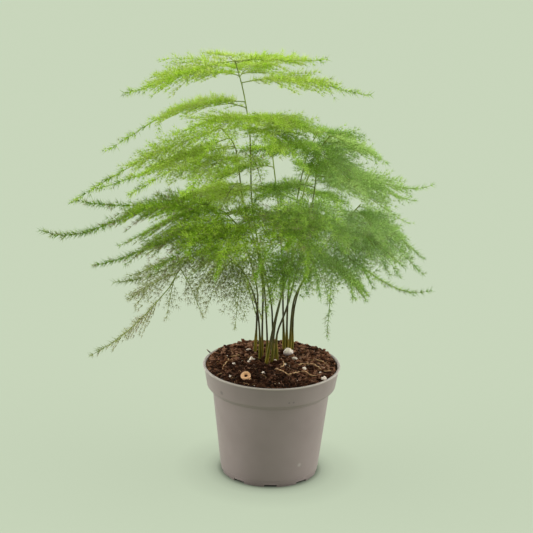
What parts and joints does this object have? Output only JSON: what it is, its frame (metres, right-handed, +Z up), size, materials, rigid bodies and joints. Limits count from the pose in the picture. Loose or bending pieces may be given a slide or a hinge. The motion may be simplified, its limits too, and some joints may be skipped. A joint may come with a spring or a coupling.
{
  "type": "lace fern in a nursery pot",
  "caption": "Lace fern with slender upright stems and flat, layered, feathery fronds, growing in soil in a round plastic nursery pot with a collar.",
  "frame": {"origin": "centre of the pot's flat underside, on the pot's axis", "axes": "+Z up along the pot's axis; the plant's front faces -Y and its leader leans towards -X"},
  "size_m": [0.3319, 0.2633, 0.3689],
  "materials": {
    "pot_plastic": "satin taupe-grey moulded plastic",
    "potting_soil": "dark brown crumbly peat with white grains and fine roots",
    "pale_stone": "rough pale mineral grain",
    "tan_bark": "dry tan bark",
    "fern_green": "bright green needles on olive and brown stems"
  },
  "bodies": {
    "root": {"pot": "pot_plastic", "soil": "potting_soil", "pale_stone": "pale_stone", "bark_curl": "tan_bark", "leafy_stem_01": "fern_green", "leafy_stem_02": "fern_green", "leafy_stem_03": "fern_green", "leafy_stem_04": "fern_green", "leafy_stem_05": "fern_green", "leafy_stem_06": "fern_green", "leafy_stem_07": "fern_green", "leafy_stem_08": "fern_green", "leafy_stem_09": "fern_green", "leafy_stem_10": "fern_green", "leafy_stem_11": "fern_green", "leafy_stem_12": "fern_green"}
  },
  "joints": []
}
